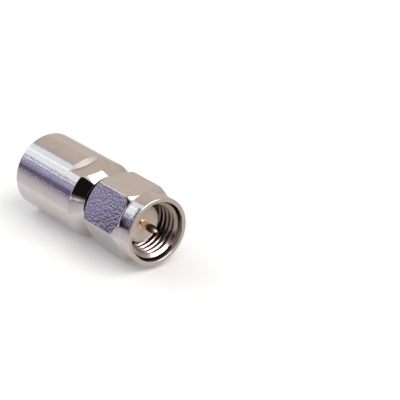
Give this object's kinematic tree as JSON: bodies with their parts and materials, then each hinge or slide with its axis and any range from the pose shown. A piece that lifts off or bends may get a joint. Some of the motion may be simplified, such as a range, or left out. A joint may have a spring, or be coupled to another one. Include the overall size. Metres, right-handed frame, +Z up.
{
  "type": "coaxial adaptor",
  "caption": "Straight coaxial adaptor: a plug with a turning hexagonal coupling nut at one end and an internally threaded barrel plug with a round-nosed pin at the other.",
  "frame": {"origin": "centre of the nut end's reference plane, where the ferrule and its insulator end", "axes": "+X along the axis and out of the nut's mouth, +Z up with the adaptor lying on its side and two of the nut's flats level"},
  "size_m": [0.022, 0.0092, 0.0092],
  "materials": {
    "nickel_plate": "bright nickel plate on turned brass",
    "gold_plate": "gold plate on turned brass",
    "spring_bronze": "plain spring bronze",
    "insulator": "machined fluoropolymer",
    "gasket_rubber": "black silicone rubber"
  },
  "bodies": {
    "adaptor": {"barrel": "nickel_plate", "plug_body": "nickel_plate", "retaining_ring": "spring_bronze", "gasket": "gasket_rubber", "core_insulator": "insulator", "cup_insulator": "insulator", "centre_contact": "gold_plate"},
    "nut": {"coupling_nut": "nickel_plate"}
  },
  "joints": [
    {"name": "nut_turn", "type": "hinge", "parent": "adaptor", "child": "nut", "pos_m": [0, 0, 0], "axis": [1, 0, 0], "continuous": true}
  ]
}
